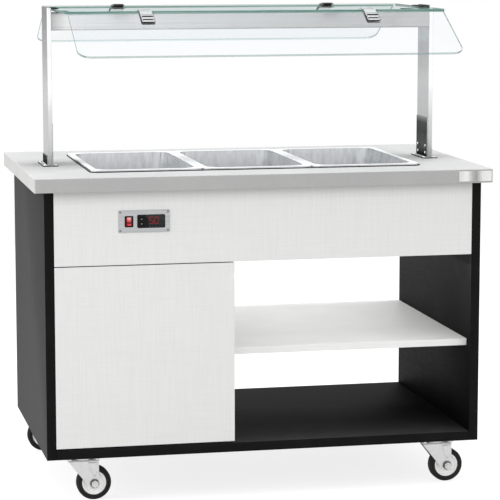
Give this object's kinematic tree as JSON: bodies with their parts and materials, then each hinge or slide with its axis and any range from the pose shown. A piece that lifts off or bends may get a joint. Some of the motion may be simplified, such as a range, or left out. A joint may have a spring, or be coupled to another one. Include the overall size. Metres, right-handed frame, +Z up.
{
  "type": "heated buffet trolley",
  "caption": "Laminate counter on swivel castors with a heated well of lift-out food pans, open storage bays, a control panel and a glass guard with folding flaps on steel posts.",
  "frame": {"origin": "on the floor, under the middle of the counter", "axes": "+X along the counter to the right as a guest sees it, +Y from the guests' side, where the controls are, to the staff side, +Z up"},
  "size_m": [1.34, 0.972, 1.4045],
  "materials": {
    "grey_laminate": "satin",
    "white_melamine": "satin",
    "black_melamine": "satin",
    "brushed_steel": "brushed",
    "pressed_steel": "polished",
    "clear_glass": "polished",
    "chromed_zinc": "satin",
    "black_rubber": "matte",
    "grey_rubber": "matte",
    "grey_plastic": "satin",
    "zinc_plate": "bright zinc",
    "black_plastic": "gloss",
    "red_plastic": "lit, gloss",
    "nickel_brass": "nickel plated",
    "heater_steel": "oxidised",
    "mineral_wool": "fibrous"
  },
  "bodies": {
    "trolley": {"back_apron": "white_melamine", "back_service_panel": "white_melamine", "bottom_panel": "black_melamine", "cable_gland": "black_plastic", "castor_bolts": "zinc_plate", "castor_plates": "zinc_plate", "ceiling_panel": "white_melamine", "control_plate": "brushed_steel", "controller_body": "black_plastic", "divider_panel": "white_melamine", "drain_valve": "nickel_brass", "front_apron": "white_melamine", "front_service_panel": "white_melamine", "glass_pads": "black_rubber", "heating_element": "heater_steel", "hinge_clamps": "chromed_zinc", "hinge_pins": "chromed_zinc", "insulation_jacket": "mineral_wool", "left_base_bracket": "brushed_steel", "left_post": "brushed_steel", "left_side_panel": "black_melamine", "pan_head_screws": "zinc_plate", "pan_support_bars": "pressed_steel", "right_base_bracket": "brushed_steel", "right_post": "brushed_steel", "right_side_panel": "black_melamine", "shelf": "white_melamine", "switch_housing": "black_plastic", "temperature_probe": "heater_steel", "top_beam": "brushed_steel", "top_glass": "clear_glass", "well_tank": "pressed_steel", "worktop": "grey_laminate"},
    "front_flap": {"front_flap_glass": "clear_glass", "front_hinge_leaves": "chromed_zinc"},
    "back_flap": {"back_flap_glass": "clear_glass", "back_hinge_leaves": "chromed_zinc"},
    "left_food_pan": {"left_pan": "pressed_steel"},
    "middle_food_pan": {"middle_pan": "pressed_steel"},
    "right_food_pan": {"right_pan": "pressed_steel"},
    "switch_rocker": {"rocker": "red_plastic"},
    "controller_up_key": {"up_key": "black_plastic"},
    "controller_down_key": {"down_key": "black_plastic"},
    "drain_handle": {"drain_lever": "zinc_plate"},
    "front_left_castor_fork": {"front_left_fork": "zinc_plate", "front_left_axle": "zinc_plate"},
    "front_left_castor_wheel": {"front_left_wheel": "grey_plastic", "front_left_tyre": "grey_rubber"},
    "front_right_castor_fork": {"front_right_fork": "zinc_plate", "front_right_axle": "zinc_plate"},
    "front_right_castor_wheel": {"front_right_wheel": "grey_plastic", "front_right_tyre": "grey_rubber"},
    "back_left_castor_fork": {"back_left_fork": "zinc_plate", "back_left_axle": "zinc_plate"},
    "back_left_castor_wheel": {"back_left_wheel": "grey_plastic", "back_left_tyre": "grey_rubber"},
    "back_right_castor_fork": {"back_right_fork": "zinc_plate", "back_right_axle": "zinc_plate"},
    "back_right_castor_wheel": {"back_right_wheel": "grey_plastic", "back_right_tyre": "grey_rubber"}
  },
  "joints": [
    {"name": "front_flap_hinge", "type": "hinge", "parent": "trolley", "child": "front_flap", "pos_m": [0, -0.264, 1.396], "axis": [1, 0, 0], "range_deg": [-87.5, 62.5]},
    {"name": "back_flap_hinge", "type": "hinge", "parent": "trolley", "child": "back_flap", "pos_m": [0, 0.264, 1.396], "axis": [-1, 0, 0], "range_deg": [-87.5, 62.5]},
    {"name": "left_pan_lift", "type": "slide", "parent": "trolley", "child": "left_food_pan", "axis": [0, 0, 1], "range_m": [0, 0.15]},
    {"name": "middle_pan_lift", "type": "slide", "parent": "trolley", "child": "middle_food_pan", "axis": [0, 0, 1], "range_m": [0, 0.15]},
    {"name": "right_pan_lift", "type": "slide", "parent": "trolley", "child": "right_food_pan", "axis": [0, 0, 1], "range_m": [0, 0.15]},
    {"name": "switch_rock", "type": "hinge", "parent": "trolley", "child": "switch_rocker", "pos_m": [-0.4005, -0.3825, 0.8115], "axis": [1, 0, 0], "range_deg": [0, 20]},
    {"name": "up_key_press", "type": "slide", "parent": "trolley", "child": "controller_up_key", "axis": [0, 1, 0], "range_m": [0, 0.0006], "stiffness_N_per_m": 2000},
    {"name": "down_key_press", "type": "slide", "parent": "trolley", "child": "controller_down_key", "axis": [0, 1, 0], "range_m": [0, 0.0006], "stiffness_N_per_m": 2000},
    {"name": "drain_turn", "type": "hinge", "parent": "trolley", "child": "drain_handle", "pos_m": [0.25, 0.226, 0.636], "axis": [0, 1, 0], "range_deg": [0, 90]},
    {"name": "front_left_swivel", "type": "hinge", "parent": "trolley", "child": "front_left_castor_fork", "pos_m": [-0.534, -0.325, 0.12], "axis": [0, 0, 1], "continuous": true},
    {"name": "front_left_roll", "type": "hinge", "parent": "front_left_castor_fork", "child": "front_left_castor_wheel", "pos_m": [-0.501, -0.325, 0.05], "axis": [0, 1, 0], "continuous": true},
    {"name": "front_right_swivel", "type": "hinge", "parent": "trolley", "child": "front_right_castor_fork", "pos_m": [0.5245, -0.325, 0.12], "axis": [0, 0, 1], "continuous": true},
    {"name": "front_right_roll", "type": "hinge", "parent": "front_right_castor_fork", "child": "front_right_castor_wheel", "pos_m": [0.5575, -0.325, 0.05], "axis": [0, 1, 0], "continuous": true},
    {"name": "back_left_swivel", "type": "hinge", "parent": "trolley", "child": "back_left_castor_fork", "pos_m": [-0.534, 0.325, 0.12], "axis": [0, 0, 1], "continuous": true},
    {"name": "back_left_roll", "type": "hinge", "parent": "back_left_castor_fork", "child": "back_left_castor_wheel", "pos_m": [-0.567, 0.325, 0.05], "axis": [0, 1, 0], "continuous": true},
    {"name": "back_right_swivel", "type": "hinge", "parent": "trolley", "child": "back_right_castor_fork", "pos_m": [0.5245, 0.325, 0.12], "axis": [0, 0, 1], "continuous": true},
    {"name": "back_right_roll", "type": "hinge", "parent": "back_right_castor_fork", "child": "back_right_castor_wheel", "pos_m": [0.4915, 0.325, 0.05], "axis": [0, 1, 0], "continuous": true}
  ]
}
